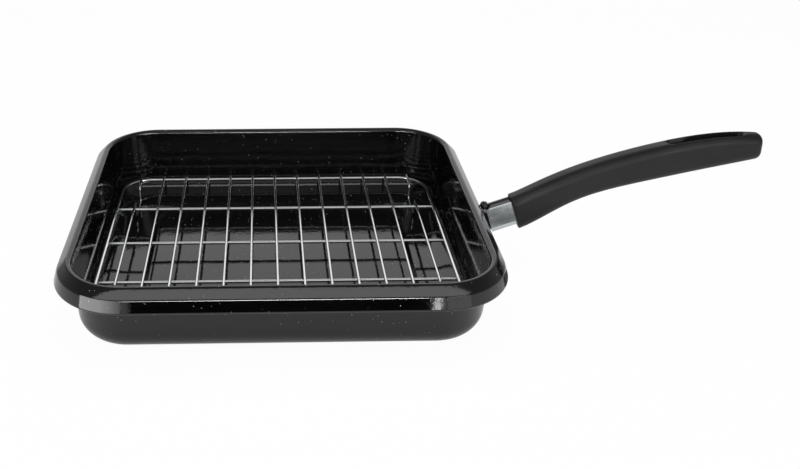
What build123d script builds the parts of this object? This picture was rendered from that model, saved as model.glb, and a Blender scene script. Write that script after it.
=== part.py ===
import os
from math import cos, radians, sin, sqrt, tan

from build123d import *

# Grill pan: an enamelled steel tray with a rolled rim, a loose chromed wire rack that stands
# in it on bent feet, and a handle of a steel tang, a zinc-plated sleeve and a moulded grip.
# Origin: centre of the base, on the surface. +X runs towards the handle, +Z is up.
# All lengths are millimetres and all angles are degrees.

# Pan body
pan_length = 341
pan_width = 310
pan_height = 62.5
sheet = 1.2
wall_slope = 5
mouth_corner_radius = 42
base_radius = 19

# Rolled rim
rim_width = 14.1
rim_depth = 16
rim_slope = 43
rim_flare = 17
rim_shoulder_radius = 3
rim_edge_radius = 3
rim_curl_radius = 2.2
rim_curl_length = 4.2
rim_seam_drop = 2
rim_overlap = 5

# Raised cooking floor inside the drip channel
channel_end_width = 47.4
channel_side_width = 47.9
platform_rise = 4.7
platform_corner_radius = 26
platform_slope = 45
platform_edge_radius = 3

# Wire rack
wire_count = 13
wire_diameter = 2.2
cross_wire_count = 3
cross_wire_diameter = 2.8
frame_diameter = 3.2
frame_end_gap = 11.3
frame_side_gap = 11.9
outer_wire_gap = 16.1
frame_corner_radius = 27
weld_sink = 0.1
foot_edge_gap = 38
foot_span = 32
foot_bend_radius = 3.6
foot_drop = 15.2
rack_rest_gap = 0.3
rack_shift_x = -2.3
rack_shift_y = 3.3

# Handle line: the tang, sleeve and screw lie on one straight axis that rises from the pan
handle_tilt = 20
sleeve_start_gap = 6.8
neck_height = 37.3

# Tang with its welded foot plate
tang_width = 9
tang_height = 20
tang_rise = 0.6
tang_length = 38
tang_bottom_radius = 4.3
tang_shoulder_start = 5.6
tang_shoulder_run = 4.6
tang_shoulder_drop = 3.4
rim_fit_gap = 0.25
foot_plate_width = 46
foot_plate_height = 25
foot_plate_thickness = 2
foot_plate_corner_radius = 6
foot_plate_level = 31.2

# Sleeve
sleeve_width = 12
sleeve_height = 24
sleeve_wall = 1.2
sleeve_length = 29
sleeve_shown = 21.5

# Grip
grip_length = 199.5
grip_rise = 58.5
grip_height = 28
grip_width = 20
grip_corner_radius = 7.6
grip_start_slope = 27
grip_end_slope = 4
grip_neck_edge_bevel = 0.8
grip_tip_radius = 5
grip_pocket_gap = 0.25
slot_length = 62
slot_width = 8.6
slot_tip_margin = 16
slot_edge_bevel = 0.8

# Handle screw
screw_diameter = 5
screw_engagement = 14
screw_bore_gap = 0.1
screw_hole_gap = 0.6
screw_head_diameter = 7.6
screw_head_height = 3.2
screw_drive_width = 1.2
screw_drive_depth = 1.4
screw_seat_depth = 5
washer_diameter = 8.2
washer_thickness = 1

# Grip's middle line, as shares of its length and rise, between its two ends
middle_line_shares = [
    (0.108, 0.199),
    (0.265, 0.469),
    (0.424, 0.647),
    (0.584, 0.784),
    (0.744, 0.897),
    (0.905, 0.975),
]

# Grip's sections: place as a share of the middle line, then shares of the height and width
section_shares = [
    (0.12, 1.02, 0.98),
    (0.28, 0.95, 1.0),
    (0.45, 0.99, 1.0),
    (0.62, 1.03, 1.0),
    (0.78, 1.0, 0.97),
    (0.9, 0.9, 0.92),
    (1.0, 0.74, 0.83),
]
neck_section_shares = (1.1, 0.95)

# Wall line and rim corners, as distance outwards from the mouth and height above the base
mouth_length = pan_length - 2 * rim_width
mouth_width = pan_width - 2 * rim_width
shoulder_z = pan_height - rim_shoulder_radius * (1 - sin(radians(wall_slope)))
shoulder_turn = 90 - wall_slope + rim_slope
shoulder_tangent = rim_shoulder_radius * tan(radians(shoulder_turn / 2))
crown_u = shoulder_tangent * sin(radians(wall_slope))
crown_z = shoulder_z + shoulder_tangent * cos(radians(wall_slope))
skirt_z = pan_height - rim_depth
fall = tan(radians(rim_slope))
flare = tan(radians(rim_flare))
edge_u = (rim_width - (crown_z + crown_u * fall - skirt_z) * flare) / (1 - fall * flare)
edge_z = crown_z - (edge_u - crown_u) * fall
wall_width = sheet / cos(radians(wall_slope))
seam_z = shoulder_z - rim_seam_drop
platform_length = mouth_length - 2 * channel_end_width
platform_width = mouth_width - 2 * channel_side_width


def inset_at(height):
    """How far the wall's inner face has come in from the mouth at a height above the base."""
    return (shoulder_z - height) * tan(radians(wall_slope))


def tub_outline(inset):
    """Rounded rectangle at a distance in from the mouth, with the mouth's corner centres."""
    return RectangleRounded(
        mouth_length - 2 * inset,
        mouth_width - 2 * inset,
        mouth_corner_radius - inset,
    )


# Pressed tub: a tapered shell between the base and the seam just under the rim's shoulder
with BuildPart() as tub:
    with BuildSketch(Plane.XY):
        tub_outline(inset_at(0) - wall_width)
    extrude(amount=seam_z, taper=-wall_slope)
    fillet(faces().sort_by(Axis.Z)[0].edges(), base_radius + sheet)

with BuildPart() as tub_inside:
    with BuildSketch(Plane.XY.offset(sheet)):
        tub_outline(inset_at(sheet))
    extrude(amount=seam_z - sheet, taper=-wall_slope)
    fillet(faces().sort_by(Axis.Z)[0].edges(), base_radius)

# Pressed-up floor, as the solid that rises and the hollow beneath it
platform_run = platform_rise / tan(radians(platform_slope))
platform_wall = sheet / sin(radians(platform_slope))

with BuildPart() as platform_hollow:
    with BuildSketch(Plane.XY):
        RectangleRounded(
            platform_length + 2 * (platform_run + sheet - platform_wall),
            platform_width + 2 * (platform_run + sheet - platform_wall),
            platform_corner_radius,
        )
    extrude(amount=platform_rise, taper=platform_slope)

# Rim: the sheet's section rolled outwards and down, carried round the mouth in quarters
corner_x = mouth_length / 2 - mouth_corner_radius
corner_y = mouth_width / 2 - mouth_corner_radius


def rim_outline(reach):
    """Closed outline of the rolled sheet, at a distance out from its plane's middle."""
    with BuildLine() as outline:
        rolled_face = FilletPolyline(
            (
                reach - rim_overlap * sin(radians(wall_slope)),
                shoulder_z - rim_overlap * cos(radians(wall_slope)),
            ),
            (reach + crown_u, crown_z),
            (reach + edge_u, edge_z),
            (reach + rim_width, skirt_z),
            (reach + rim_width - rim_curl_length, skirt_z),
            radius=[rim_shoulder_radius, rim_edge_radius, rim_curl_radius],
        )
        offset(rolled_face, amount=sheet, side=Side.RIGHT)
    return outline.line


with BuildPart() as rim:
    with BuildSketch(Plane.XZ.offset(-corner_y)):
        with BuildLine():
            add(rim_outline(mouth_length / 2))
        make_face()
    extrude(amount=corner_y)
    with BuildSketch(Plane.XZ.offset(-corner_y)):
        with BuildLine():
            add(rim_outline(mouth_length / 2))
        make_face()
    revolve(axis=Axis((corner_x, corner_y, 0), (0, 0, 1)), revolution_arc=90)
    with BuildSketch(Plane.YZ.offset(corner_x)):
        with BuildLine():
            add(rim_outline(mouth_width / 2))
        make_face()
    extrude(amount=-corner_x)
    mirror(about=Plane.XZ)
    mirror(about=Plane.YZ)
    with BuildSketch(Plane.XY.offset(seam_z)):
        tub_outline(-wall_width)
    extrude(amount=-2 * rim_overlap, mode=Mode.SUBTRACT)

with BuildPart() as pan:
    add(tub)
    add(tub_inside, mode=Mode.SUBTRACT)
    with BuildSketch(Plane.XY):
        RectangleRounded(
            platform_length + 2 * (platform_run + sheet),
            platform_width + 2 * (platform_run + sheet),
            platform_corner_radius + platform_wall,
        )
    extrude(amount=platform_rise + sheet, taper=platform_slope)
    platform_top = faces().filter_by(Axis.Z).filter_by(
        lambda face: abs(face.center().Z - platform_rise - sheet) < sheet / 2
    )
    fillet(platform_top.edges(), platform_edge_radius)
    add(platform_hollow, mode=Mode.SUBTRACT)
    add(rim)


# Wire rack: its levels follow from the feet, which stand in the drip channel
wire_level = sheet + rack_rest_gap + wire_diameter / 2 + foot_drop
frame_level = wire_level - (wire_diameter + frame_diameter) / 2 + weld_sink
cross_level = wire_level - (wire_diameter + cross_wire_diameter) / 2 + weld_sink
frame_half_length = mouth_length / 2 - frame_end_gap
frame_half_width = mouth_width / 2 - frame_side_gap
wire_pitch = 2 * (frame_half_length - outer_wire_gap) / (wire_count - 1)
cross_wire_pitch = 2 * frame_half_width / (cross_wire_count + 1)

# Frame: one wire bent into a rounded loop, half of it swept and then mirrored
with BuildPart() as rack_frame:
    with BuildLine(Plane.XY.offset(frame_level)) as frame_half:
        FilletPolyline(
            (rack_shift_x, rack_shift_y - frame_half_width),
            (rack_shift_x + frame_half_length, rack_shift_y - frame_half_width),
            (rack_shift_x + frame_half_length, rack_shift_y + frame_half_width),
            (rack_shift_x, rack_shift_y + frame_half_width),
            radius=frame_corner_radius,
        )
    with BuildSketch(Plane(frame_half.line @ 0, z_dir=frame_half.line % 0)):
        Circle(frame_diameter / 2)
    sweep(path=frame_half.line)
    mirror(about=Plane.YZ.offset(rack_shift_x))

# Cross wires: butted between the frame's sides, each end saddled to the side wire
cross_wires = []
for number in range(cross_wire_count):
    cross_y = rack_shift_y + (number - (cross_wire_count - 1) / 2) * cross_wire_pitch
    with BuildPart() as cross_wire:
        with BuildSketch(Plane((rack_shift_x, cross_y, cross_level), z_dir=(1, 0, 0))):
            Circle(cross_wire_diameter / 2)
        extrude(amount=frame_half_length, both=True)
        add(rack_frame, mode=Mode.SUBTRACT)
    cross_wire.part.label = f"rack_cross_wire_{number + 1}"
    cross_wires.append(cross_wire.part)

# Wires that carry the food: straight ones, and at each side one that is bent into two feet
foot_outer = frame_half_width - foot_edge_gap + foot_span / 2
foot_inner = foot_outer - foot_span
foot_level = wire_level - foot_drop
corner_reach = frame_corner_radius - outer_wire_gap
corner_drop = frame_corner_radius - sqrt(frame_corner_radius**2 - corner_reach**2)

rack_wires = []
for number in range(wire_count):
    wire_x = rack_shift_x + (number - (wire_count - 1) / 2) * wire_pitch
    is_foot_wire = number in (0, wire_count - 1)
    wire_half_length = frame_half_width + frame_diameter / 2
    if is_foot_wire:
        wire_half_length = wire_half_length - corner_drop
    with BuildPart() as rack_wire:
        with BuildLine(Plane((wire_x, rack_shift_y, 0), x_dir=(0, 1, 0), z_dir=(1, 0, 0))) as route:
            if is_foot_wire:
                FilletPolyline(
                    (-wire_half_length, wire_level),
                    (-foot_outer, wire_level),
                    (-foot_outer, foot_level),
                    (-foot_inner, foot_level),
                    (-foot_inner, wire_level),
                    (foot_inner, wire_level),
                    (foot_inner, foot_level),
                    (foot_outer, foot_level),
                    (foot_outer, wire_level),
                    (wire_half_length, wire_level),
                    radius=foot_bend_radius,
                )
            else:
                Line((-wire_half_length, wire_level), (wire_half_length, wire_level))
        with BuildSketch(Plane(route.line @ 0, z_dir=route.line % 0)):
            Circle(wire_diameter / 2)
        sweep(path=route.line)
    rack_wire.part.label = f"rack_wire_{number + 1:02d}"
    rack_wires.append(rack_wire.part)

# Handle axis: a plane whose X is the pan's Y and whose Y points up and back
neck = Vector(pan_length / 2 + sleeve_start_gap, 0, neck_height)
along = Vector(cos(radians(handle_tilt)), 0, sin(radians(handle_tilt)))
upward = Vector(-sin(radians(handle_tilt)), 0, cos(radians(handle_tilt)))


def across_handle(distance):
    """Plane square to the handle's straight axis, at a distance past the sleeve's start."""
    return Plane(neck + along * distance, x_dir=(0, 1, 0), z_dir=along)


def beside_handle(distance, rise):
    """Point in the XZ plane, along the handle's axis and up from it."""
    point = neck + along * distance + upward * rise
    return (point.X, point.Z)


# Tang: a bar that passes under the rim, with a shoulder in front of it and a welded foot plate
wall_outer_x = mouth_length / 2 + wall_width
tang_top = tang_rise + tang_height / 2
tang_bottom = tang_rise - tang_height / 2


def wall_x(height):
    """Distance of the wall's outer face from the middle of the pan at a height."""
    return wall_outer_x - (shoulder_z - height) * tan(radians(wall_slope))


under_rim_z = skirt_z - rim_fit_gap
shoulder_top = beside_handle(tang_shoulder_start, tang_top)
shoulder_foot = (shoulder_top[0] - tang_shoulder_run, shoulder_top[1] - tang_shoulder_drop)
tang_end_low = beside_handle(tang_length, tang_bottom)
wall_lean = tan(radians(wall_slope))
tang_lean = tan(radians(handle_tilt))
low_reach = tang_end_low[0] - wall_outer_x + shoulder_z * wall_lean
tang_foot_z = (tang_end_low[1] - low_reach * tang_lean) / (1 - wall_lean * tang_lean)

with BuildPart() as handle_bracket:
    with BuildSketch(Plane.XZ):
        with BuildLine():
            Polyline(
                (wall_x(tang_foot_z), tang_foot_z),
                (wall_x(under_rim_z), under_rim_z),
                shoulder_foot,
                shoulder_top,
                beside_handle(tang_length, tang_top),
                tang_end_low,
                close=True,
            )
        make_face()
    extrude(amount=tang_width / 2, both=True)
    long_edges = edges().filter_by(Axis((0, 0, 0), along))
    fillet(long_edges.group_by(Axis.Z)[0], tang_bottom_radius)
    with BuildSketch(
        Plane(
            (wall_x(foot_plate_level), 0, foot_plate_level),
            x_dir=(0, 1, 0),
            z_dir=(cos(radians(wall_slope)), 0, -sin(radians(wall_slope))),
        )
    ):
        RectangleRounded(foot_plate_width, foot_plate_height, foot_plate_corner_radius)
    extrude(amount=foot_plate_thickness)
    with BuildSketch(across_handle(tang_length)):
        Circle((screw_diameter + screw_bore_gap) / 2)
    extrude(amount=-screw_engagement, mode=Mode.SUBTRACT)
handle_bracket.part.label = "handle_bracket"


def sleeve_outline(gap):
    """Closed outline of the sleeve's outside, round at the bottom, grown by the gap."""
    half_width = sleeve_width / 2 + gap
    top = sleeve_height / 2 + gap
    spring = sleeve_width / 2 - sleeve_height / 2
    with BuildLine() as outline:
        Line((half_width, spring), (half_width, top))
        Line((half_width, top), (-half_width, top))
        Line((-half_width, top), (-half_width, spring))
        ThreePointArc((-half_width, spring), (0, spring - half_width), (half_width, spring))
    return outline.line


# Sleeve: a plated channel round the tang, open along the top
with BuildPart() as handle_sleeve:
    with BuildSketch(across_handle(0)):
        with BuildLine():
            add(sleeve_outline(0))
        make_face()
        with BuildLine():
            add(sleeve_outline(-sleeve_wall))
        make_face(mode=Mode.SUBTRACT)
        with Locations((0, sleeve_height / 2)):
            Rectangle(sleeve_width - 2 * sleeve_wall, 4 * sleeve_wall, mode=Mode.SUBTRACT)
    extrude(amount=sleeve_length)
handle_sleeve.part.label = "handle_sleeve"

# Grip: sections lofted along a curved middle line, pocketed at the neck and slotted to hang
grip_start = neck + along * sleeve_shown
tip_x = grip_start.X + grip_length
slot_start_x = tip_x - slot_tip_margin - slot_length
slot_distance = (slot_start_x - neck.X) / cos(radians(handle_tilt))
seat_distance = slot_distance - screw_seat_depth

with BuildPart() as handle_grip:
    with BuildLine() as middle_line:
        Spline(
            grip_start,
            *[
                grip_start + Vector(x_share * grip_length, 0, z_share * grip_rise)
                for x_share, z_share in middle_line_shares
            ],
            grip_start + Vector(grip_length, 0, grip_rise),
            tangents=[
                (cos(radians(grip_start_slope)), 0, sin(radians(grip_start_slope))),
                (cos(radians(grip_end_slope)), 0, sin(radians(grip_end_slope))),
            ],
        )
    with BuildSketch(across_handle(sleeve_shown)):
        RectangleRounded(
            neck_section_shares[1] * grip_width,
            neck_section_shares[0] * grip_height,
            grip_corner_radius,
        )
    for place_share, height_share, width_share in section_shares:
        station = middle_line.line @ place_share
        heading = middle_line.line % place_share
        with BuildSketch(Plane(station, x_dir=(0, 1, 0), z_dir=heading)):
            RectangleRounded(
                width_share * grip_width,
                height_share * grip_height,
                grip_corner_radius,
            )
    loft()
    fillet(faces().sort_by(Axis.X)[-1].edges(), grip_tip_radius)
    chamfer(faces().sort_by(Axis.X)[0].edges(), grip_neck_edge_bevel)
    with BuildSketch(Plane.XY):
        with Locations((slot_start_x + slot_length / 2, 0)):
            SlotOverall(slot_length, slot_width)
    extrude(amount=grip_start.Z + grip_rise + grip_height, mode=Mode.SUBTRACT)
    slot_rims = (
        edges()
        .filter_by(Axis.Z, reverse=True)
        .filter_by_position(Axis.Y, -slot_width / 2, slot_width / 2)
        .filter_by_position(Axis.X, slot_start_x, slot_start_x + slot_length)
    )
    chamfer(slot_rims, slot_edge_bevel)
    with BuildSketch(across_handle(sleeve_length + grip_pocket_gap)):
        with BuildLine():
            add(sleeve_outline(grip_pocket_gap))
        make_face()
    extrude(amount=-sleeve_length, mode=Mode.SUBTRACT)
    with BuildSketch(across_handle(tang_length + grip_pocket_gap)):
        with Locations((0, tang_rise)):
            Rectangle(tang_width + 2 * grip_pocket_gap, tang_height + 2 * grip_pocket_gap)
    extrude(amount=sleeve_shown - tang_length, mode=Mode.SUBTRACT)
    with BuildSketch(across_handle(tang_length)):
        Circle((screw_diameter + screw_hole_gap) / 2)
    extrude(amount=slot_distance - tang_length, mode=Mode.SUBTRACT)
    with BuildSketch(across_handle(seat_distance)):
        Circle(slot_width / 2)
    extrude(amount=screw_seat_depth + slot_width, mode=Mode.SUBTRACT)
handle_grip.part.label = "handle_grip"

# Long screw: its head sits on a washer at the slot's inner end, its thread in the tang's end
screw_start = tang_length - screw_engagement + screw_bore_gap
head_start = seat_distance + washer_thickness

with BuildPart() as handle_screw:
    with BuildSketch(across_handle(screw_start)):
        Circle(screw_diameter / 2)
    extrude(amount=head_start - screw_start)
    chamfer(faces().sort_by(Axis.X)[0].edges(), screw_drive_width / 2)
    with BuildSketch(across_handle(head_start)):
        Circle(screw_head_diameter / 2)
    extrude(amount=screw_head_height)
    chamfer(faces().sort_by(Axis.X)[-1].edges(), screw_drive_width / 2)
    with BuildSketch(across_handle(head_start + screw_head_height)):
        Rectangle(screw_drive_width, screw_head_diameter)
    extrude(amount=-screw_drive_depth, mode=Mode.SUBTRACT)
handle_screw.part.label = "handle_screw"

with BuildPart() as screw_washer:
    with BuildSketch(across_handle(seat_distance)):
        Circle(washer_diameter / 2)
        Circle((screw_diameter + screw_hole_gap) / 2, mode=Mode.SUBTRACT)
    extrude(amount=washer_thickness)
screw_washer.part.label = "screw_washer"

os.makedirs("parts", exist_ok=True)
export_step(pan.part, "parts/pan.step")
export_step(rack_frame.part, "parts/rack_frame.step")
export_step(handle_bracket.part, "parts/handle_bracket.step")
export_step(handle_sleeve.part, "parts/handle_sleeve.step")
export_step(handle_grip.part, "parts/handle_grip.step")
export_step(handle_screw.part, "parts/handle_screw.step")
export_step(screw_washer.part, "parts/screw_washer.step")
for cross_wire_part in cross_wires:
    export_step(cross_wire_part, f"parts/{cross_wire_part.label}.step")
for rack_wire_part in rack_wires:
    export_step(rack_wire_part, f"parts/{rack_wire_part.label}.step")
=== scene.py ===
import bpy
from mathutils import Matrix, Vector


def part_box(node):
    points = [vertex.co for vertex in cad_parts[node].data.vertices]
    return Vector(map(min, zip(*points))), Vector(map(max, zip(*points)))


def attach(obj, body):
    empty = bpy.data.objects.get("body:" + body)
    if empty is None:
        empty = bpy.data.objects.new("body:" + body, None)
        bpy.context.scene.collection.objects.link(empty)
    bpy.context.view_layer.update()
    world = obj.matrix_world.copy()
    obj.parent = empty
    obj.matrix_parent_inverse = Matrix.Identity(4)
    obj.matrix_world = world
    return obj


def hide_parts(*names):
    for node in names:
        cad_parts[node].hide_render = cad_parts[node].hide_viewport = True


bl_info = {
    "name": "Grill Pan with Wire Rack",
    "version": (1, 0, 0),
    "blender": (4, 5, 0),
    "location": "View3D > Sidebar > Grill Pan",
    "description": "Makes an enamelled grill pan, its chromed wire rack, its handle and a plain studio",
    "category": "Add Mesh",
}

from math import ceil, cos, pi, radians, sin, tan

import bmesh
import bpy
from bpy.props import FloatProperty, FloatVectorProperty, IntProperty, PointerProperty
from mathutils import Euler, Vector, noise

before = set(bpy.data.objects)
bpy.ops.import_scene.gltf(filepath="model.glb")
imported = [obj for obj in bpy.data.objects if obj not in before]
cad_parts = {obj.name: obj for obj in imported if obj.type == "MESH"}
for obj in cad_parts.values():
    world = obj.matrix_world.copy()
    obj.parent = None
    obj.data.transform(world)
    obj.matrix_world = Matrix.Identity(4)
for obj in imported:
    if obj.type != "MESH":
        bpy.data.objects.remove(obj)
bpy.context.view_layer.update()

MM = 0.001
X, Y, Z = 0, 1, 2

PAN_BODY = "pan_body"
RACK_BODY = "rack_body"

WHITE = (1, 1, 1, 1)
HAZED_CHROME = (0.56, 0.56, 0.555, 1.0)
DULL_ZINC = (0.60, 0.61, 0.63, 1.0)
RUBBED_PHENOLIC = (0.0075, 0.007, 0.0065, 1.0)
DULL_STEEL = (0.40, 0.40, 0.41, 1.0)
BURNT_ENAMEL = (0.03, 0.03, 0.03, 1.0)

# Specks in the enamel: cells to the metre, share of the cells that stay bare, and the least
# radius of a speck and how much more it can be, in cells
SPECK_CELLS = 230.0
SPECK_BARE = 0.32
SPECK_LEAST, SPECK_SPREAD = 0.055, 0.05

# Corners of a solid's loose triangles that lie closer than this are one
MERGE_REACH = 0.001 * MM
# Edges sharper than these stay sharp in the shading: of the pan and bent wires, of straight wires
# and of the grip
BENT_SHARP = radians(50)
WIRE_SHARP = radians(40)
GRIP_SHARP = radians(35)

# Share of the skirt's height, from its lower edge up, that takes none of the long walls' spread
HEM_SHARE = 0.35
# Length inside the raised floor's edge where the section starts, in pressed edge radii
FLAT_START = 3
# Rounded end of a bent wire, in wire radii: how deep each ring lies and how wide it is
WIRE_DOME = ((0.0, 0.55), (0.16, 0.84), (0.42, 1.0))
# A straight wire: points along it, how far from its middle its cut end starts as a share of its
# length, and how much narrower that end is
WIRE_POINTS = 65
WIRE_END = 0.499
WIRE_END_DRAW = 0.22
# Weld nuggets: height against radius, and the least and most that one is sized by chance
NUGGET_HEIGHT = 0.7
NUGGET_LEAST = (0.85, 0.85, 0.9)
NUGGET_MOST = (1.2, 1.2, 1.1)
# Tack weld: how close its coarse lumps are and how far they stand out, and the same for the fine
# ones, whose closeness is against the coarse ones'
TACK_COARSE, TACK_COARSE_RISE = 2.2, 0.22
TACK_FINE, TACK_FINE_RISE = 2.7, 0.10

LAMP_PLACE = (0, -0.20, 1.25)
LAMP_LENGTH, LAMP_WIDTH = 2.0, 1.9
SENSOR_WIDTH = 36
# Heights of the view direction between which the tent goes from its side to its top brightness
TENT_LOW, TENT_HIGH = 0.2, 0.6
CAMERA_FLAG_GLOW = 0.6
# A card that fades is this bright at its dim end, against its bright end
FADE_LEAST = 0.25
# Brightness against the side cards
SPARK_SHARE = 2
RIGHT_SHARE = 0.25


def nodes_named(start):
    """Names of the solids that start alike, in order."""
    return [name for name in sorted(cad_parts) if name.startswith(start)]


WIRE_NODES = nodes_named("rack_wire_")
CROSS_WIRE_NODES = nodes_named("rack_cross_wire_")


def middle(node, axis):
    """Middle of a node's box along one axis."""
    low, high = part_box(node)
    return (low[axis] + high[axis]) / 2


def extent(node, axis):
    """Size of a node's box along one axis."""
    low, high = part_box(node)
    return high[axis] - low[axis]


def length_property(label, text, default):
    """A size in metres that the sidebar shows with its unit."""
    return FloatProperty(name=label, description=text, default=default, unit="LENGTH", precision=5)


def number_property(label, text, default, **limits):
    """A plain number."""
    return FloatProperty(name=label, description=text, default=default, **limits)


def angle_property(label, text, default):
    """An angle, given in degrees and kept in radians."""
    return FloatProperty(name=label, description=text, default=radians(default), subtype="ANGLE")


def colour_property(label, text, default):
    """A linear colour."""
    return FloatVectorProperty(
        name=label, description=text, default=default, subtype="COLOR", size=3, min=0, max=1
    )


class PanSizes(bpy.types.PropertyGroup):
    """Sizes of the pressed and enamelled pan body."""

    length: length_property("Length", "Over the rim, along the handle", extent("pan", X))
    width: length_property("Width", "Over the rim, across the handle", extent("pan", Y))
    height: length_property("Height", "From the surface to the rim's crown", extent("pan", Z))
    sheet: length_property("Sheet", "Thickness of the enamelled sheet", 1.2 * MM)
    wall_slope: angle_property("Wall slope", "Lean of the walls from upright", 5)
    mouth_corner: length_property("Mouth corner", "Corner radius at the inside of the rim", 42 * MM)
    base_radius: length_property("Base radius", "Inside radius between wall and floor", 19 * MM)
    rim_width: length_property("Rim width", "How far the skirt's edge stands out", 14.1 * MM)
    rim_depth: length_property("Rim depth", "From the crown to the skirt's edge", 18.2 * MM)
    rim_slope: angle_property("Rim slope", "Fall of the rim's top from level", 43)
    rim_flare: angle_property("Rim flare", "Lean of the skirt from upright", 14)
    shoulder_radius: length_property("Shoulder radius", "Bend at the top of the wall", 3 * MM)
    edge_radius: length_property("Edge radius", "Bend at the rim's outer edge", 3 * MM)
    curl_radius: length_property("Curl radius", "Bend at the bottom of the skirt", 2.2 * MM)
    curl_length: length_property("Curl length", "How far the curl turns in", 4.2 * MM)
    end_draw: length_property("End draw", "How far the end walls are drawn in at the mouth", 1.7 * MM)
    side_spread: length_property(
        "Side spread", "How far the long walls are let out at the mouth", 1.0 * MM
    )
    platform_length: length_property("Raised floor length", "Length of its flat top", 218 * MM)
    platform_width: length_property("Raised floor width", "Width of its flat top", 186 * MM)
    platform_rise: length_property("Raised floor rise", "Height over the drip channel", 4.7 * MM)
    platform_corner: length_property("Raised floor corner", "Corner radius of the top", 26 * MM)
    platform_slope: angle_property("Raised floor slope", "Fall of its sides from level", 45)
    platform_edge: length_property("Raised floor edge", "Radius of its pressed edges", 3 * MM)


class RackSizes(bpy.types.PropertyGroup):
    """Sizes of the chromed wire rack."""

    frame_wire: length_property("Frame wire", "Diameter of the outer loop", extent("rack_frame", Z))
    frame_corner: length_property("Frame corner", "Corner radius of the loop's centre line", 27 * MM)
    wire: length_property("Wire", "Diameter of the thin wires", extent(WIRE_NODES[0], X))
    foot_centre: length_property("Foot centre", "From the rack's middle to a foot's middle", 91 * MM)
    foot_span: length_property("Foot span", "Between a foot's two legs", 32 * MM)
    foot_bend: length_property("Foot bend", "Radius of the bends of a foot", 3.6 * MM)
    weld_swell: number_property("Weld swell", "Width of a weld against its wire", 1.25, min=1)


class HandleSizes(bpy.types.PropertyGroup):
    """Sizes of the handle's tack weld, and what its grip is drawn in by."""

    tilt: angle_property("Tilt", "Turn of the sleeve's rolling lines", 20)
    tack_x: length_property("Tack place", "Middle of the tack weld, along the handle", 172.2 * MM)
    tack_z: length_property("Tack level", "Height of the tack weld's middle", 50.6 * MM)
    tack_length: length_property("Tack length", "Tack weld, along the handle", 6.5 * MM)
    tack_width: length_property("Tack width", "Tack weld, across the handle", 7.5 * MM)
    tack_height: length_property("Tack height", "Tack weld, from under to over", 6.5 * MM)
    tip_draw_from: length_property("Tip draw from", "Where the grip's draw starts", 40 * MM)
    tip_draw: number_property("Tip draw", "Length shown past that against the solid's", 0.979)


class Finishes(bpy.types.PropertyGroup):
    """Colours of the finishes."""

    enamel: colour_property("Enamel", "Gloss vitreous enamel", (0.0028, 0.0028, 0.0030))
    speck: colour_property("Speck", "Pale specks in the enamel", (0.30, 0.30, 0.295))
    chrome: colour_property("Chrome", "Bright plate on the rack", (0.76, 0.77, 0.78))
    zinc: colour_property("Zinc", "Bright plate on the sleeve", (0.60, 0.64, 0.65))
    phenolic: colour_property("Phenolic", "Moulded grip", (0.0022, 0.0021, 0.0020))
    steel: colour_property("Steel", "Plain screw and washer", (0.52, 0.52, 0.53))
    ground: colour_property("Ground", "Floor under the pan", (0.86, 0.86, 0.86))


class Studio(bpy.types.PropertyGroup):
    """Camera and lights."""

    camera_x: length_property("Camera X", "Place of the camera", -11.54 * MM)
    camera_y: length_property("Camera Y", "Place of the camera", -711.20 * MM)
    camera_z: length_property("Camera Z", "Place of the camera", 409.09 * MM)
    pitch: angle_property("Pitch", "How far the camera looks down", 28.39)
    yaw: angle_property("Yaw", "How far the camera turns to the handle", 1.30)
    lens: number_property("Lens", "Focal length in millimetres", 42.77)
    shift_x: number_property("Shift", "Sideways shift of the lens", 0.144)
    sky: number_property("Sky", "Strength of the even light", 0.12)
    overhead: number_property("Overhead", "Power of the wide lamp overhead in watts", 24)
    tent_top: number_property("Tent top", "Brightness overhead in the gloss", 0.22)
    tent_side: number_property("Tent side", "Brightness of the level sides in the gloss", 0.42)
    back_card: number_property("Back card", "Brightness of the card behind the pan", 1.10)
    strip: number_property("Strip", "Brightness of the low strip before the pan", 80)
    boom_card: number_property("Boom card", "Brightness of the card over the camera", 2.3)
    box_card: number_property("Boxes", "Brightness of the boxes left and right of the camera", 6.0)
    side_card: number_property("Side cards", "Brightness of the cards beside the camera", 5.8)
    handle_card: number_property("Handle card", "Brightness of the card beside the sleeve", 0.13)
    floor_size: length_property("Floor size", "Side of the square floor", 12.0)
    floor_glow: number_property("Floor glow", "Share of plain white in what the camera sees", 0.97)
    gloss_glow: number_property("Gloss glow", "Share of plain white in what the gloss shows", 0.45)
    smooth_steps: IntProperty(name="Steps", description="Faces in a quarter turn", default=20, min=4)


class Wired:
    """A shader socket on which Python's operators add the nodes that work them out."""

    def __init__(self, shader, socket):
        self.shader = shader
        self.socket = socket

    def _maths(self, operation, first, second, clamp=False):
        """One number worked out from two."""
        made = self.shader.node(
            "ShaderNodeMath",
            settings={"operation": operation, "use_clamp": clamp},
            inputs={0: first, 1: second},
        )
        return self.shader.out(made, 0)

    def __add__(self, other):
        return self._maths("ADD", self, other)

    def __sub__(self, other):
        return self._maths("SUBTRACT", self, other)

    def __rsub__(self, other):
        return self._maths("SUBTRACT", other, self)

    def __mul__(self, other):
        return self._maths("MULTIPLY", self, other)

    def __lt__(self, other):
        return self._maths("LESS_THAN", self, other)

    def __gt__(self, other):
        return self._maths("GREATER_THAN", self, other)

    def above(self, low, high):
        """0 at low and under, 1 at high and over, and a straight ramp between."""
        return self._maths("MULTIPLY", self - low, 1 / (high - low), clamp=True)


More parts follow.
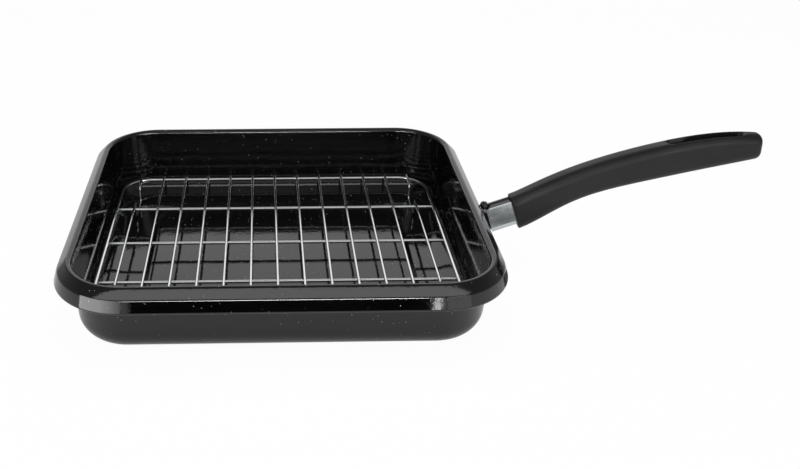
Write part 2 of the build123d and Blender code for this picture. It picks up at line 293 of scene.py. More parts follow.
def add_node(tree, kind, settings=None, inputs=None):
    """A node of a type, with its settings made first and then its sockets' values or links.

    A node that is given as a value stands for its first output.
    """
    made = tree.nodes.new(kind)
    for name, value in (settings or {}).items():
        setattr(made, name, value)
    for key, value in (inputs or {}).items():
        if isinstance(value, Wired):
            value = value.socket
        if isinstance(value, bpy.types.Node):
            value = value.outputs[0]
        if isinstance(value, bpy.types.NodeSocket):
            tree.links.new(value, made.inputs[key])
        else:
            made.inputs[key].default_value = value
    return made


class Shader:
    """Builds the nodes of one material, or of a world that is given."""

    def __init__(self, name, world=None):
        self.material = world or bpy.data.materials.new(name)
        self.material.use_nodes = True
        self.tree = self.material.node_tree
        self.tree.nodes.clear()
        kind = "ShaderNodeOutputWorld" if world else "ShaderNodeOutputMaterial"
        self.output = self.tree.nodes.new(kind)

    def node(self, kind, settings=None, inputs=None):
        """A node of a type in this tree."""
        return add_node(self.tree, kind, settings, inputs)

    def out(self, node, key):
        """A node's output as a socket that takes operators."""
        return Wired(self, node.outputs[key])

    def object_place(self):
        """Where a point lies in the object's own metres."""
        return self.out(self.node("ShaderNodeTexCoord"), "Object")

    def part(self, vector, axis):
        """One of a vector's three numbers."""
        return self.out(self.node("ShaderNodeSeparateXYZ", inputs={0: vector}), axis)

    def noise(self, scale, detail, roughness=0.5, place=None):
        """Even noise of a number of cells to the metre."""
        made = self.node(
            "ShaderNodeTexNoise",
            inputs={
                "Vector": place or self.object_place(),
                "Scale": scale,
                "Detail": detail,
                "Roughness": roughness,
            },
        )
        return self.out(made, "Fac")

    def stretched(self, scale, turn):
        """Object place, turned and then stretched along its axes."""
        turned = self.node(
            "ShaderNodeMapping", inputs={"Vector": self.object_place(), "Rotation": turn}
        )
        sized = self.node(
            "ShaderNodeMapping", inputs={"Vector": self.out(turned, "Vector"), "Scale": scale}
        )
        return self.out(sized, "Vector")

    def mix_colour(self, share, first, second):
        """A colour between two, by a share."""
        made = self.node(
            "ShaderNodeMix",
            settings={"data_type": "RGBA"},
            inputs={0: share, 6: first, 7: second},
        )
        return self.out(made, 2)

    def bump(self, height, strength, distance):
        """A normal raised by a height."""
        made = self.node(
            "ShaderNodeBump",
            inputs={"Strength": strength, "Distance": distance, "Height": height},
        )
        return self.out(made, "Normal")

    def rays(self):
        """1 where the camera looks straight at the surface, and 1 where the gloss shows it."""
        path = self.node("ShaderNodeLightPath")
        gloss = self.out(path, "Is Glossy Ray") + self.out(path, "Is Transmission Ray")
        return self.out(path, "Is Camera Ray"), gloss

    def glow(self, strength):
        """White light of a strength, from a surface."""
        return self.node("ShaderNodeEmission", inputs={"Color": WHITE, "Strength": strength})

    def end(self, last):
        """Links the last node to the output."""
        self.tree.links.new(last.outputs[0], self.output.inputs["Surface"])

    def principled(self, **values):
        """The surface, with its sockets named by their labels in lower case."""
        labels = {key: key.replace("_", " ").title().replace("Ior", "IOR") for key in values}
        inputs = {labels[key]: value for key, value in values.items()}
        self.end(self.node("ShaderNodeBsdfPrincipled", inputs=inputs))
        return self.material


def colour(name):
    """A colour of the finishes, with its alpha."""
    return (*getattr(bpy.context.scene.grill_finishes, name), 1.0)


def enamel_finish():
    """Deep black glass fused on steel: wavy, glossy, with a few pale specks."""
    shader = Shader("black_enamel")
    cells = shader.node(
        "ShaderNodeTexVoronoi",
        inputs={"Vector": shader.object_place(), "Scale": SPECK_CELLS, "Randomness": 1.0},
    )
    picked = shader.node("ShaderNodeSeparateColor", inputs={0: shader.out(cells, "Color")})
    size = shader.out(picked, "Green") * SPECK_SPREAD + SPECK_LEAST
    few = shader.out(picked, "Red") > SPECK_BARE
    speck = few * (shader.out(cells, "Distance") < size)
    wave = shader.noise(38.0, detail=1.0)
    peel = shader.noise(330.0, detail=2.0)
    film = shader.noise(9.0, detail=4.0, roughness=0.6).above(0.42, 0.75)
    return shader.principled(
        base_color=shader.mix_colour(speck, colour("enamel"), colour("speck")),
        roughness=film * 0.05 + 0.055 + speck * 0.2,
        specular_ior_level=0.5,
        ior=1.52,
        normal=shader.bump(wave * 0.78 + peel * 0.22, 0.22, 0.0009),
    )


def chrome_finish():
    """Bright chrome plate with a faint haze and a fine grit."""
    shader = Shader("chrome_plate")
    haze = shader.noise(70.0, detail=4.0, roughness=0.6).above(0.35, 0.8)
    grit = shader.noise(900.0, detail=2.0)
    return shader.principled(
        base_color=shader.mix_colour(haze * 0.5, colour("chrome"), HAZED_CHROME),
        metallic=1.0,
        roughness=haze * 0.10 + 0.07,
        normal=shader.bump(grit, 0.12, 0.0001),
    )


def zinc_finish():
    """Bright zinc plate on bent sheet, with faint rolling lines along it."""
    sizes = bpy.context.scene.grill_handle
    shader = Shader("bright_zinc")
    along_sheet = shader.stretched((12.0, 900.0, 900.0), turn=(0.0, sizes.tilt, 0.0))
    lines = shader.noise(1.0, detail=3.0, place=along_sheet)
    cloud = shader.noise(140.0, detail=3.0).above(0.35, 0.75)
    return shader.principled(
        base_color=shader.mix_colour(cloud * 0.6, colour("zinc"), DULL_ZINC),
        metallic=1.0,
        roughness=lines * 0.12 + cloud * 0.08 + 0.14,
        normal=shader.bump(lines, 0.15, 0.0001),
    )


def phenolic_finish():
    """Moulded black phenolic: satin, finely textured, rubbed smoother in patches."""
    shader = Shader("black_phenolic")
    grain = shader.noise(1500.0, detail=3.0, roughness=0.6)
    flow = shader.noise(45.0, detail=4.0, roughness=0.6)
    rubbed = shader.noise(18.0, detail=3.0).above(0.45, 0.7)
    shade = flow.above(0.3, 0.75)
    return shader.principled(
        base_color=shader.mix_colour(shade, colour("phenolic"), RUBBED_PHENOLIC),
        roughness=0.44 - rubbed * 0.09 + grain * 0.08,
        specular_ior_level=0.42,
        normal=shader.bump(grain * 0.7 + flow * 0.3, 0.18, 0.0003),
    )


def steel_finish():
    """Plain plated steel, a little clouded."""
    shader = Shader("plated_steel")
    cloud = shader.noise(300.0, detail=3.0)
    return shader.principled(
        base_color=shader.mix_colour(cloud, colour("steel"), DULL_STEEL),
        metallic=1.0,
        roughness=cloud * 0.15 + 0.24,
        normal=shader.bump(cloud, 0.1, 0.0001),
    )


def weld_finish():
    """Enamel burnt thin and rough over the tack weld."""
    shader = Shader("enamelled_weld")
    lumps = shader.noise(420.0, detail=4.0, roughness=0.65)
    return shader.principled(
        base_color=shader.mix_colour(lumps, colour("enamel"), BURNT_ENAMEL),
        roughness=lumps * 0.25 + 0.12,
        normal=shader.bump(lumps, 0.6, 0.0012),
    )


FINISH_MAKERS = {
    "black_enamel": enamel_finish,
    "chrome_plate": chrome_finish,
    "bright_zinc": zinc_finish,
    "black_phenolic": phenolic_finish,
    "plated_steel": steel_finish,
    "enamelled_weld": weld_finish,
}


def material(name):
    """The finish of that name, made when it is first asked for."""
    return bpy.data.materials.get(name) or FINISH_MAKERS[name]()


def finish_node(node, name):
    """Gives a solid that stays in view its finish."""
    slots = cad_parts[node].material_slots
    for slot in slots:
        slot.material = material(name)


def put_in_scene(name, data):
    """An object of a mesh, lamp or camera, put in the scene."""
    made = bpy.data.objects.new(name, data)
    bpy.context.collection.objects.link(made)
    return made


def piece_from(mesh, name, body, finish=None):
    """Puts a mesh in the scene as a piece that rides on a body."""
    piece = put_in_scene(name, mesh)
    if finish:
        mesh.materials.clear()
        mesh.materials.append(material(finish))
    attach(piece, body)
    return piece


def written(shape, name):
    """The mesh of a worked shape, which ends there."""
    mesh = bpy.data.meshes.new(name)
    shape.to_mesh(mesh)
    shape.free()
    return mesh


def merged_mesh(node):
    """A copy of a solid's mesh with its loose triangles joined."""
    shape = bmesh.new()
    shape.from_mesh(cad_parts[node].data)
    bmesh.ops.remove_doubles(shape, verts=shape.verts, dist=MERGE_REACH)
    return written(shape, node + "_shown")


def smooth(mesh, sharp_angle=None):
    """Shades a mesh smooth, apart from edges sharper than the angle."""
    mesh.shade_smooth()
    if sharp_angle is not None:
        mesh.set_sharp_from_angle(angle=sharp_angle)


def rounded_line(corners, radii, steps):
    """Points of a line through corners, with an arc of a radius at each inner one."""
    points = [Vector(corners[0])]
    for before, corner, after, radius in zip(corners, corners[1:], corners[2:], radii):
        corner = Vector(corner)
        back = (Vector(before) - corner).normalized()
        on = (Vector(after) - corner).normalized()
        turn = pi - back.angle(on)
        reach = radius * tan(turn / 2)
        centre = corner + (back + on).normalized() * (radius / cos(turn / 2))
        first = corner + back * reach - centre
        last = corner + on * reach - centre
        count = max(2, ceil(steps * turn / (pi / 2)))
        for number in range(count + 1):
            share = number / count
            arm = first * sin((1 - share) * turn) + last * sin(share * turn)
            points.append(centre + arm / sin(turn))
    points.append(Vector(corners[-1]))
    return points


def ring_points(half_length, half_width, radius, height, steps):
    """A rounded rectangle's points, the same number whatever its size."""
    radius = min(radius, half_length, half_width)
    points = []
    for quarter in range(4):
        side_x = 1 if quarter in (0, 3) else -1
        side_y = 1 if quarter in (0, 1) else -1
        for number in range(steps + 1):
            angle = pi / 2 * (quarter + number / steps)
            x = side_x * (half_length - radius) + radius * cos(angle)
            y = side_y * (half_width - radius) + radius * sin(angle)
            points.append(Vector((x, y, height)))
    return points


def mesh_from_rings(name, rings, joined=False):
    """Skins closed rings of equal counts, joined end to end or with a flat face over each end."""
    shape = bmesh.new()
    rows = [[shape.verts.new(point) for point in ring] for ring in rings]
    count = len(rings[0])
    next_rows = rows[1:] + rows[:1] if joined else rows[1:]
    for row, following in zip(rows, next_rows):
        for number in range(count):
            after = (number + 1) % count
            shape.faces.new((row[number], row[after], following[after], following[number]))
    if not joined:
        shape.faces.new(list(reversed(rows[0])))
        shape.faces.new(rows[-1])
    bmesh.ops.recalc_face_normals(shape, faces=shape.faces)
    return written(shape, name)


def mouth_reach(sizes, over_rim):
    """From the pan's middle to the mouth's inner edge, for a size over the rounded rim."""
    rounded_off = sizes.curl_radius * ((1 + sin(sizes.rim_flare)) / cos(sizes.rim_flare) - 1)
    return over_rim / 2 + rounded_off - sizes.rim_width


def offset_line(corners, distance):
    """Corners of the line that runs on the right of another one, at a distance."""
    points = [Vector(corner) for corner in corners]
    headings = [(on - back).normalized() for back, on in zip(points, points[1:])]
    sides = [Vector((heading.y, -heading.x)) for heading in headings]
    moved = [points[0] + sides[0] * distance]
    for point, before, after in zip(points[1:], sides, sides[1:]):
        moved.append(point + (before + after) * (distance / (1 + before.dot(after))))
    moved.append(points[-1] + sides[-1] * distance)
    return moved


def rim_corners(sizes):
    """The sharp corners of the rim's section: its crown, its outer edge and the skirt's edge."""
    shoulder = sizes.height - sizes.shoulder_radius * (1 - sin(sizes.wall_slope))
    turn = pi / 2 - sizes.wall_slope + sizes.rim_slope
    reach = sizes.shoulder_radius * tan(turn / 2)
    crown = Vector((reach * sin(sizes.wall_slope), shoulder + reach * cos(sizes.wall_slope)))
    skirt = sizes.height - sizes.rim_depth
    fall = tan(sizes.rim_slope)
    flare = tan(sizes.rim_flare)
    edge_out = (sizes.rim_width - (crown.y + crown.x * fall - skirt) * flare) / (1 - fall * flare)
    edge = Vector((edge_out, crown.y - (edge_out - crown.x) * fall))
    return crown, edge, Vector((sizes.rim_width, skirt))


def mouth_shares(sizes, out, height):
    """How much of the mouth's draw and spread a point of the section takes, from 0 to 1."""
    edge, skirt = rim_corners(sizes)[1:]
    if out > 0 and height < edge.y:
        hem = skirt.y + (edge.y - skirt.y) * HEM_SHARE
        share = max(0, (height - hem) / (edge.y - hem))
        return (1 + share) / 2, share
    share = min(1, max(0, height / edge.y)) ** 2
    return share, share


def pan_section(sizes, steps):
    """The pan's section from the middle of the top, round the rim, to the middle underneath.

    Each point is a distance out from the mouth's inner edge and a height.
    """
    sheet = sizes.sheet
    crown, edge, skirt = rim_corners(sizes)
    shoulder = sizes.height - sizes.shoulder_radius * (1 - sin(sizes.wall_slope))
    floor_in = -(shoulder - sheet) * tan(sizes.wall_slope)
    run = sizes.platform_rise / tan(sizes.platform_slope)
    top_in = sizes.platform_length / 2 - mouth_reach(sizes, sizes.length)
    corners = [
        (top_in - sizes.platform_edge * FLAT_START, sheet + sizes.platform_rise),
        (top_in, sheet + sizes.platform_rise),
        (top_in + run, sheet),
        (floor_in, sheet),
        crown,
        edge,
        skirt,
        (skirt.x - sizes.curl_length, skirt.y),
    ]
    radii = [
        sizes.platform_edge,
        sizes.platform_edge,
        sizes.base_radius,
        sizes.shoulder_radius,
        sizes.edge_radius,
        sizes.curl_radius,
    ]
    growth = [-sheet, sheet, sheet, -sheet, -sheet, -sheet]
    inner_radii = [radius + grown for radius, grown in zip(radii, growth)]
    upper = rounded_line(corners, radii, steps)
    lower = rounded_line(offset_line(corners, sheet), inner_radii, steps)
    return upper + list(reversed(lower))


class GRILL_OT_pan(bpy.types.Operator):
    """Make the pressed and enamelled pan body."""

    bl_idname = "grill.pan"
    bl_label = "Pan Body"

    def execute(self, context):
        sizes = context.scene.grill_pan
        steps = context.scene.grill_studio.smooth_steps
        half_length = mouth_reach(sizes, sizes.length)
        half_width = mouth_reach(sizes, sizes.width)
        top_in = sizes.platform_length / 2 - half_length
        platform_lag = half_width - sizes.platform_width / 2 + top_in
        run = sizes.platform_rise / tan(sizes.platform_slope)
        shoulder = sizes.height - sizes.shoulder_radius
        foot_in = -(shoulder - sizes.sheet) * tan(sizes.wall_slope) - sizes.base_radius
        rings = []
        for out, height in pan_section(sizes, steps // 2):
            share = min(1, max(0, (foot_in - out) / (foot_in - top_in - run)))
            wide_out = out - platform_lag * share
            corner = sizes.mouth_corner + out
            flat_corner = sizes.platform_corner + (out - top_in)
            radius = corner * (1 - share) + flat_corner * share
            draw, spread = mouth_shares(sizes, out, height)
            length = half_length + out - sizes.end_draw * draw
            width = half_width + wide_out + sizes.side_spread * spread
            rings.append(ring_points(length, width, radius, height, steps))
        mesh = mesh_from_rings("enamel_pan", rings)
        smooth(mesh, BENT_SHARP)
        pan = piece_from(mesh, "enamel_pan", PAN_BODY, "black_enamel")
        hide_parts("pan")
        return {"FINISHED"}


class NodeTree:
    """Builds one geometry nodes tree."""

    def __init__(self, name, sizes):
        self.tree = bpy.data.node_groups.new(name, "GeometryNodeTree")
        for label, kind in sizes:
            self.tree.interface.new_socket(label, in_out="INPUT", socket_type="NodeSocket" + kind)
        self.tree.interface.new_socket("Geometry", in_out="OUTPUT", socket_type="NodeSocketGeometry")
        self.inputs = self.tree.nodes.new("NodeGroupInput")
        self.outputs = self.tree.nodes.new("NodeGroupOutput")

    def node(self, kind, settings=None, inputs=None):
        """A node of a type in this tree."""
        return add_node(self.tree, kind, settings, inputs)

    def size(self, label):
        """A named input's socket."""
        return self.inputs.outputs[label]

    def maths(self, operation, first, second):
        """One number worked out from two."""
        return self.node("ShaderNodeMath", {"operation": operation}, {0: first, 1: second})

    def vector(self, x, y, z):
        """A vector of three numbers or sockets."""
        return self.node("ShaderNodeCombineXYZ", inputs={0: x, 1: y, 2: z})

    def finish(self, geometry, finish):
        """Ends the tree with real geometry in one material."""
        real = self.node("GeometryNodeRealizeInstances", inputs={"Geometry": geometry})
        dressed = self.node(
            "GeometryNodeSetMaterial", inputs={"Geometry": real, "Material": material(finish)}
        )
        self.tree.links.new(dressed.outputs[0], self.outputs.inputs["Geometry"])
        return self.tree


def grown(name, tree, values):
    """The plain mesh that a tree makes from its named sizes."""
    seed = put_in_scene(name, bpy.data.meshes.new(name))
    growth = seed.modifiers.new("growth", "NODES")
    growth.node_group = tree
    for item in tree.interface.items_tree:
        if item.in_out == "INPUT":
            growth[item.identifier] = values[item.name]
    bpy.context.view_layer.update()
    shown = seed.evaluated_get(bpy.context.evaluated_depsgraph_get())
    mesh = bpy.data.meshes.new_from_object(shown)
    bpy.data.objects.remove(seed)
    mesh.name = name
    return mesh


def round_section(centre, side, other, radius, steps):
    """Points of a circle that two arms, square to each other, lie in."""
    points = []
    for part in range(steps):
        angle = 2 * pi * part / steps
        points.append(centre + (side * cos(angle) + other * sin(angle)) * radius)
    return points


def tube_rings(route, radii, steps):
    """Round sections square to a route of points, with a radius for each."""
    rings = []
    side = None
    for number, point in enumerate(route):
        before = route[max(0, number - 1)]
        after = route[min(len(route) - 1, number + 1)]
        heading = (after - before).normalized()
        if side is None:
            side = heading.orthogonal().normalized()
        side = (side - heading * side.dot(heading)).normalized()
        rings.append(round_section(point, side, heading.cross(side), radii[number], steps))
    return rings


def domed_tube(name, route, radius, steps):
    """A tube along a route with softly rounded ends."""
    first_way = (route[1] - route[0]).normalized()
    last_way = (route[-1] - route[-2]).normalized()
    path = [route[0] + first_way * radius * depth for depth, width in WIRE_DOME]
    path += route[1:-1]
    path += [route[-1] - last_way * radius * depth for depth, width in reversed(WIRE_DOME)]
    end_radii = [radius * width for depth, width in WIRE_DOME]
    radii = end_radii + [radius] * (len(route) - 2) + end_radii[::-1]
    mesh = mesh_from_rings(name, tube_rings(path, radii, steps))
    smooth(mesh, BENT_SHARP)
    return mesh


class GRILL_OT_rack_frame(bpy.types.Operator):
    """Make the rack's outer loop."""

    bl_idname = "grill.rack_frame"
    bl_label = "Rack Frame"

    def execute(self, context):
        sizes = context.scene.grill_rack
        steps = context.scene.grill_studio.smooth_steps
        radius = sizes.frame_wire / 2
        centre = Vector((middle("rack_frame", X), middle("rack_frame", Y), 0))
        half_length = extent("rack_frame", X) / 2 - radius
        half_width = extent("rack_frame", Y) / 2 - radius
        level = middle("rack_frame", Z)
        loop = ring_points(half_length, half_width, sizes.frame_corner, level, steps)
        loop = [point + centre for point in loop]
        upright = Vector((0, 0, 1))
        rings = []
        for number, point in enumerate(loop):
            before = loop[number - 1]
            after = loop[(number + 1) % len(loop)]
            heading = (after - point).normalized() + (point - before).normalized()
            inward = upright.cross(heading.normalized())
            rings.append(round_section(point, inward, upright, radius, steps))
        mesh = mesh_from_rings("rack_loop", rings, joined=True)
        smooth(mesh)
        loop_piece = piece_from(mesh, "rack_loop", RACK_BODY, "chrome_plate")
        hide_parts("rack_frame")
        return {"FINISHED"}


def straight_wires_tree(finish):
    """Straight round wires side by side, each a copy of one wire with softly cut ends."""
    made = NodeTree(
        "straight_wires",
        [
            ("Count", "Int"),
            ("First place", "Vector"),
            ("Step", "Vector"),
            ("Half run", "Vector"),
            ("Radius", "Float"),
            ("Sides", "Int"),
        ],
    )
    half_run = made.size("Half run")
    places = made.node(
        "GeometryNodeMeshLine",
        {"mode": "OFFSET"},
        {
            "Count": made.size("Count"),
            "Start Location": made.size("First place"),
            "Offset": made.size("Step"),
        },
    )
    start = made.node("ShaderNodeVectorMath", {"operation": "SCALE"}, {0: half_run, "Scale": -1.0})
    run = made.node("GeometryNodeCurvePrimitiveLine", inputs={"Start": start, "End": half_run})
    divided = made.node("GeometryNodeResampleCurve", inputs={"Curve": run, "Count": WIRE_POINTS})
    along = made.node("GeometryNodeSplineParameter").outputs["Factor"]
    to_middle = made.maths("ABSOLUTE", made.maths("SUBTRACT", along, 0.5), 0.0)
    is_end = made.maths("GREATER_THAN", to_middle, WIRE_END)
    narrowed = made.maths("SUBTRACT", 1.0, made.maths("MULTIPLY", is_end, WIRE_END_DRAW))
    outline = made.node(
        "GeometryNodeCurvePrimitiveCircle",
        inputs={"Resolution": made.size("Sides"), "Radius": made.size("Radius")},
    )
    wire = made.node(
        "GeometryNodeCurveToMesh",
        inputs={
            "Curve": divided,
            "Profile Curve": outline.outputs["Curve"],
            "Scale": narrowed,
            "Fill Caps": True,
        },
    )
    copies = made.node("GeometryNodeInstanceOnPoints", inputs={"Points": places, "Instance": wire})
    return made.finish(copies, finish)


def weld_tree(finish):
    """Weld nuggets on a grid of crossings, each a low lump with its own size."""
    made = NodeTree(
        "weld_nuggets",
        [
            ("Columns", "Int"),
            ("Rows", "Int"),
            ("Length", "Float"),
            ("Width", "Float"),
            ("Place", "Vector"),
            ("Radius", "Float"),
            ("Height", "Float"),
            ("Seed", "Int"),
        ],
    )
    grid = made.node(
        "GeometryNodeMeshGrid",
        inputs={
            "Size X": made.size("Length"),
            "Size Y": made.size("Width"),
            "Vertices X": made.size("Columns"),
            "Vertices Y": made.size("Rows"),
        },
    )
    placed = made.node(
        "GeometryNodeTransform", inputs={"Geometry": grid, "Translation": made.size("Place")}
    )
    lump = made.node(
        "GeometryNodeMeshUVSphere",
        inputs={"Segments": 12, "Rings": 8, "Radius": made.size("Radius")},
    )
    squash = made.maths("DIVIDE", made.size("Height"), made.size("Radius"))
    flat = made.node(
        "GeometryNodeTransform",
        inputs={"Geometry": lump, "Scale": made.vector(1.0, 1.0, squash)},
    )
    scale = made.node(
        "FunctionNodeRandomValue",
        {"data_type": "FLOAT_VECTOR"},
        {"Min": NUGGET_LEAST, "Max": NUGGET_MOST, "Seed": made.size("Seed")},
    )
    nuggets = made.node(
        "GeometryNodeInstanceOnPoints",
        inputs={"Points": placed, "Instance": flat, "Scale": scale},
    )
    rounded = made.node("GeometryNodeSetShadeSmooth", inputs={"Geometry": nuggets})
    return made.finish(rounded, finish)


class GRILL_OT_rack_wires(bpy.types.Operator):
    """Make the rack's straight wires and cross wires."""

    bl_idname = "grill.rack_wires"
    bl_label = "Rack Wires"

    def execute(self, context):
        sides = context.scene.grill_studio.smooth_steps
        for name, nodes, axis in (
            ("cooking_wires", WIRE_NODES[1:-1], Y),
            ("long_wires", CROSS_WIRE_NODES, X),
        ):
            first = Vector([middle(nodes[0], part) for part in (X, Y, Z)])
            second = Vector([middle(nodes[1], part) for part in (X, Y, Z)])
            half_run = Vector((0, 0, 0))
            half_run[axis] = extent(nodes[0], axis) / 2
            values = {
                "Count": len(nodes),
                "First place": first,
                "Step": second - first,
                "Half run": half_run,
                "Radius": extent(nodes[0], Z) / 2,
                "Sides": sides,
            }
            mesh = grown(name, straight_wires_tree("chrome_plate"), values)
            smooth(mesh, WIRE_SHARP)
            wires = piece_from(mesh, name, RACK_BODY)
            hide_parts(*nodes)
        return {"FINISHED"}


class GRILL_OT_foot_wires(bpy.types.Operator):
    """Make the two outer wires, each bent down into a pair of feet."""

    bl_idname = "grill.foot_wires"
    bl_label = "Foot Wires"

    def execute(self, context):
        sizes = context.scene.grill_rack
        steps = context.scene.grill_studio.smooth_steps
        for side, node in (("left", WIRE_NODES[0]), ("right", WIRE_NODES[-1])):
            low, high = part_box(node)
            radius = sizes.wire / 2
            x, y = middle(node, X), middle(node, Y)
            top = high[Z] - radius
            bottom = low[Z] + radius
            outer = sizes.foot_centre + sizes.foot_span / 2
            inner = sizes.foot_centre - sizes.foot_span / 2
            corners = [(low[Y], top)]
            for foot in (-1, 1):
                first, last = (outer, inner) if foot < 0 else (inner, outer)
                corners += [(y + foot * first, top), (y + foot * first, bottom)]
                corners += [(y + foot * last, bottom), (y + foot * last, top)]
            corners.append((high[Y], top))
            flat = rounded_line(corners, [sizes.foot_bend] * (len(corners) - 2), steps // 2)
            route = [Vector((x, along, height)) for along, height in flat]
            mesh = domed_tube(f"foot_wire_{side}", route, radius, steps)
            wire = piece_from(mesh, f"foot_wire_{side}", RACK_BODY, "chrome_plate")
            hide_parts(node)
        return {"FINISHED"}


class GRILL_OT_rack_welds(bpy.types.Operator):
    """Make the weld nuggets where the rack's wires cross."""

    bl_idname = "grill.rack_welds"
    bl_label = "Rack Welds"

    def execute(self, context):
        sizes = context.scene.grill_rack
        first, last = WIRE_NODES[0], WIRE_NODES[-1]
        wire_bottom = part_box(WIRE_NODES[1])[0][Z]
        centre_x = (middle(first, X) + middle(last, X)) / 2
        centre_y = middle("rack_frame", Y)
        run = middle(last, X) - middle(first, X)
        cross_span = middle(CROSS_WIRE_NODES[-1], Y) - middle(CROSS_WIRE_NODES[0], Y)
        frame_span = extent("rack_frame", Y) - sizes.frame_wire
        radius = sizes.wire / 2 * sizes.weld_swell
        for name, rows, span in (
            ("cross_welds", len(CROSS_WIRE_NODES), cross_span),
            ("frame_welds", 2, frame_span),
        ):
            values = {
                "Columns": len(WIRE_NODES),
                "Rows": rows,
                "Length": run,
                "Width": span,
                "Place": Vector((centre_x, centre_y, wire_bottom)),
                "Radius": radius,
                "Height": radius * NUGGET_HEIGHT,
                "Seed": rows,
            }
            mesh = grown(name, weld_tree("chrome_plate"), values)
            piece_from(mesh, name, RACK_BODY)
        return {"FINISHED"}


class GRILL_OT_handle_fittings(bpy.types.Operator):
    """Dress the tang, sleeve, screw and washer, and tack the tang to the skirt."""

    bl_idname = "grill.handle_fittings"
    bl_label = "Handle Fittings"

    def execute(self, context):
        finish_node("handle_bracket", "black_enamel")
        finish_node("handle_sleeve", "bright_zinc")
        finish_node("handle_screw", "plated_steel")
        finish_node("screw_washer", "plated_steel")
        self.make_tack(context.scene.grill_handle)
        return {"FINISHED"}

    def make_tack(self, sizes):
        """The tack weld between the tang's top and the skirt, left as a rough lump."""
        lump = bmesh.new()
        bmesh.ops.create_icosphere(lump, subdivisions=4, radius=1)
        for vert in lump.verts:
            place = vert.co * TACK_COARSE
            fine = TACK_FINE_RISE * noise.noise(place * TACK_FINE)
            vert.co *= 1 + TACK_COARSE_RISE * noise.noise(place) + fine
            vert.co.x *= sizes.tack_length / 2
            vert.co.y *= sizes.tack_width / 2
            vert.co.z *= sizes.tack_height / 2
            vert.co += Vector((sizes.tack_x, 0, sizes.tack_z))
        mesh = written(lump, "tang_tack")
        smooth(mesh)
        piece_from(mesh, "tang_tack", PAN_BODY, "enamelled_weld")


class GRILL_OT_grip(bpy.types.Operator):
    """Make the moulded grip, a copy of its solid that is drawn in at the tip."""

    bl_idname = "grill.grip"
    bl_label = "Grip"

    def execute(self, context):
        sizes = context.scene.grill_handle
        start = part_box("handle_grip")[0][X] + sizes.tip_draw_from
        mesh = merged_mesh("handle_grip")
        for vert in mesh.vertices:
            place = vert.co
            if place.x > start:
                place.x = start + (place.x - start) * sizes.tip_draw
        smooth(mesh, GRIP_SHARP)
        grip = piece_from(mesh, "moulded_grip", PAN_BODY, "black_phenolic")
        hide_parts("handle_grip")
        return {"FINISHED"}


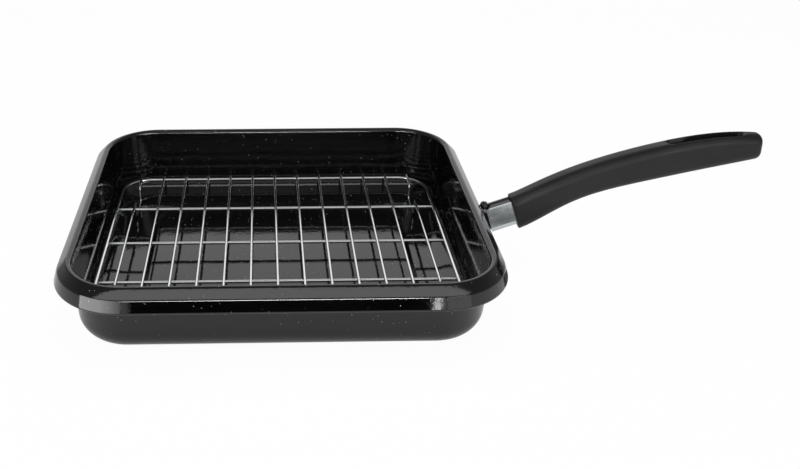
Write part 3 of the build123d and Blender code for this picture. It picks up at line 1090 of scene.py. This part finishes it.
class GRILL_OT_stage(bpy.types.Operator):
    """Make the floor, the light and the camera."""

    bl_idname = "grill.stage"
    bl_label = "Stage"

    def execute(self, context):
        studio = context.scene.grill_studio
        self.make_floor(studio)
        self.make_sky(context.scene, studio)
        self.make_lamps(studio)
        self.make_cards(studio)
        self.make_camera(context.scene, studio)
        context.scene.view_settings.view_transform = "Standard"
        return {"FINISHED"}

    def make_floor(self, studio):
        half = studio.floor_size / 2
        floor = self.flat_sheet("floor", Vector(), Vector((half, 0, 0)), Vector((0, half, 0)))
        shader = Shader("pale_floor")
        direct, gloss = shader.rays()
        shown = direct * studio.floor_glow + gloss * studio.gloss_glow
        matt = shader.node("ShaderNodeBsdfDiffuse", inputs={"Color": colour("ground")})
        glow = shader.glow(1.0)
        shader.end(shader.node("ShaderNodeMixShader", inputs={0: shown, 1: matt, 2: glow}))
        floor.data.materials.append(shader.material)

    def make_sky(self, scene, studio):
        """White to the camera, and in the gloss a dim tent that is a little brighter at the sides."""
        scene.world = bpy.data.worlds.new("studio")
        shader = Shader("studio", scene.world)
        direct, gloss = shader.rays()
        way = shader.out(shader.node("ShaderNodeTexCoord"), "Generated")
        rise = shader.part(way, "Z").above(TENT_LOW, TENT_HIGH)
        tent = studio.tent_side - rise * (studio.tent_side - studio.tent_top)
        strength = direct + gloss * tent + (1 - direct - gloss) * studio.sky
        inputs = {"Color": WHITE, "Strength": strength}
        shader.end(shader.node("ShaderNodeBackground", inputs=inputs))

    def make_lamps(self, studio):
        light = bpy.data.lights.new("overhead_lamp", "AREA")
        light.shape = "RECTANGLE"
        light.size = LAMP_LENGTH
        light.size_y = LAMP_WIDTH
        light.energy = studio.overhead
        lamp = put_in_scene("overhead_lamp", light)
        lamp.location = LAMP_PLACE
        lamp.visible_glossy = False

    def flat_sheet(self, name, centre, across, up):
        """A flat rectangle from its middle and its half sides, in the scene."""
        corners = [
            centre - across - up,
            centre + across - up,
            centre + across + up,
            centre - across + up,
        ]
        mesh = bpy.data.meshes.new(name)
        mesh.from_pydata(corners, [], [(0, 1, 2, 3)])
        return put_in_scene(name, mesh)

    def make_cards(self, studio):
        """Cards that show only in the gloss, as a photographer's black flags and white cards do.

        Each has its middle, its half sides, its brightness, and for a fading one X at its dim end
        and at its bright end.
        """
        box, side = studio.box_card, studio.side_card
        card = self.make_card
        card("camera_flag", (-0.10, -0.95, 0.45), (0.42, 0, 0), (0, 0, 0.45), CAMERA_FLAG_GLOW)
        card("left_box", (-0.70, -1.08, 0.48), (0.22, -0.143, 0), (0, 0, 0.17), box)
        card("right_box", (0.70, -1.08, 0.48), (0.22, 0.143, 0), (0, 0, 0.17), box)
        card("front_flag", (0, -0.27, 0.031), (0.129, 0, 0), (0, 0, 0.031), 0.0)
        card("back_card", (0, 1.10, 0.80), (0.95, 0, 0), (0, 0, 0.80), studio.back_card)
        card("boom_card", (0, -0.78, 1.20), (1.2, 0, 0), (0, 0.15, 0), studio.boom_card)
        strip, fade = studio.strip, (-0.16, -0.05)
        card("strip_light", (-0.02, -0.27, 0.0685), (0.145, 0, 0), (0, 0, 0.006), strip, fade)
        left_half = (0.05, -0.0435, 0)
        card("left_card", (-0.185, -0.2185, 0.052), left_half, (0, 0, 0.05), side, (-0.13, -0.185))
        spark_half = (0.0022, 0.0011, 0)
        card("right_spark", (0.1335, -0.267, 0.045), spark_half, (0, 0, 0.045), side * SPARK_SHARE)
        right_half = (0.038, 0.018, 0)
        card("right_card", (0.185, -0.243, 0.052), right_half, (0, 0, 0.05), side * RIGHT_SHARE)
        card("sleeve_card", (0.215, -0.06, 0.013), (0.040, 0, 0), (0, 0, 0.012), studio.handle_card)

    def make_card(self, name, centre, across, up, strength, fade=None):
        """One card that only the gloss shows."""
        card = self.flat_sheet(name, Vector(centre), Vector(across), Vector(up))
        card.visible_camera = False
        card.visible_diffuse = False
        card.visible_transmission = False
        card.visible_shadow = False
        shader = Shader(name)
        if fade:
            share = shader.part(shader.object_place(), "X").above(min(fade), max(fade))
            share = share if fade[0] < fade[1] else 1 - share
            strength = (share * (1 - FADE_LEAST) + FADE_LEAST) * strength
        shader.end(shader.glow(strength))
        card.data.materials.append(shader.material)

    def make_camera(self, scene, studio):
        data = bpy.data.cameras.new("camera")
        data.sensor_width = SENSOR_WIDTH
        data.lens = studio.lens
        data.shift_x = studio.shift_x
        camera = put_in_scene("camera", data)
        camera.location = (studio.camera_x, studio.camera_y, studio.camera_z)
        camera.rotation_euler = Euler((pi / 2 - studio.pitch, 0, -studio.yaw))
        scene.camera = camera


STEPS = (
    GRILL_OT_pan,
    GRILL_OT_rack_frame,
    GRILL_OT_rack_wires,
    GRILL_OT_foot_wires,
    GRILL_OT_rack_welds,
    GRILL_OT_handle_fittings,
    GRILL_OT_grip,
    GRILL_OT_stage,
)
GROUPS = {
    "grill_pan": PanSizes,
    "grill_rack": RackSizes,
    "grill_handle": HandleSizes,
    "grill_finishes": Finishes,
    "grill_studio": Studio,
}


class GRILL_PT_panel(bpy.types.Panel):
    """Lists the pieces and their sizes in the sidebar."""

    bl_idname = "GRILL_PT_panel"
    bl_label = "Grill Pan"
    bl_space_type = "VIEW_3D"
    bl_region_type = "UI"
    bl_category = "Grill Pan"

    def draw(self, context):
        layout = self.layout
        for step in STEPS:
            layout.operator(step.bl_idname)
        for name in GROUPS:
            group = getattr(context.scene, name)
            box = layout.box()
            box.label(text=name.replace("_", " ").title())
            for key in group.bl_rna.properties.keys():
                if key not in ("rna_type", "name"):
                    box.prop(group, key)


CLASSES = (*GROUPS.values(), *STEPS, GRILL_PT_panel)


def register():
    """Registers the classes and hangs the sizes on the scene."""
    for each in CLASSES:
        bpy.utils.register_class(each)
    for name, group in GROUPS.items():
        setattr(bpy.types.Scene, name, PointerProperty(type=group))


def unregister():
    """Takes everything back out."""
    for name in GROUPS:
        delattr(bpy.types.Scene, name)
    for each in reversed(CLASSES):
        bpy.utils.unregister_class(each)


def main():
    """Makes every piece and the stage."""
    register()
    bpy.ops.grill.pan()
    bpy.ops.grill.rack_frame()
    bpy.ops.grill.rack_wires()
    bpy.ops.grill.foot_wires()
    bpy.ops.grill.rack_welds()
    bpy.ops.grill.handle_fittings()
    bpy.ops.grill.grip()
    bpy.ops.grill.stage()


if __name__ == "__main__":
    main()
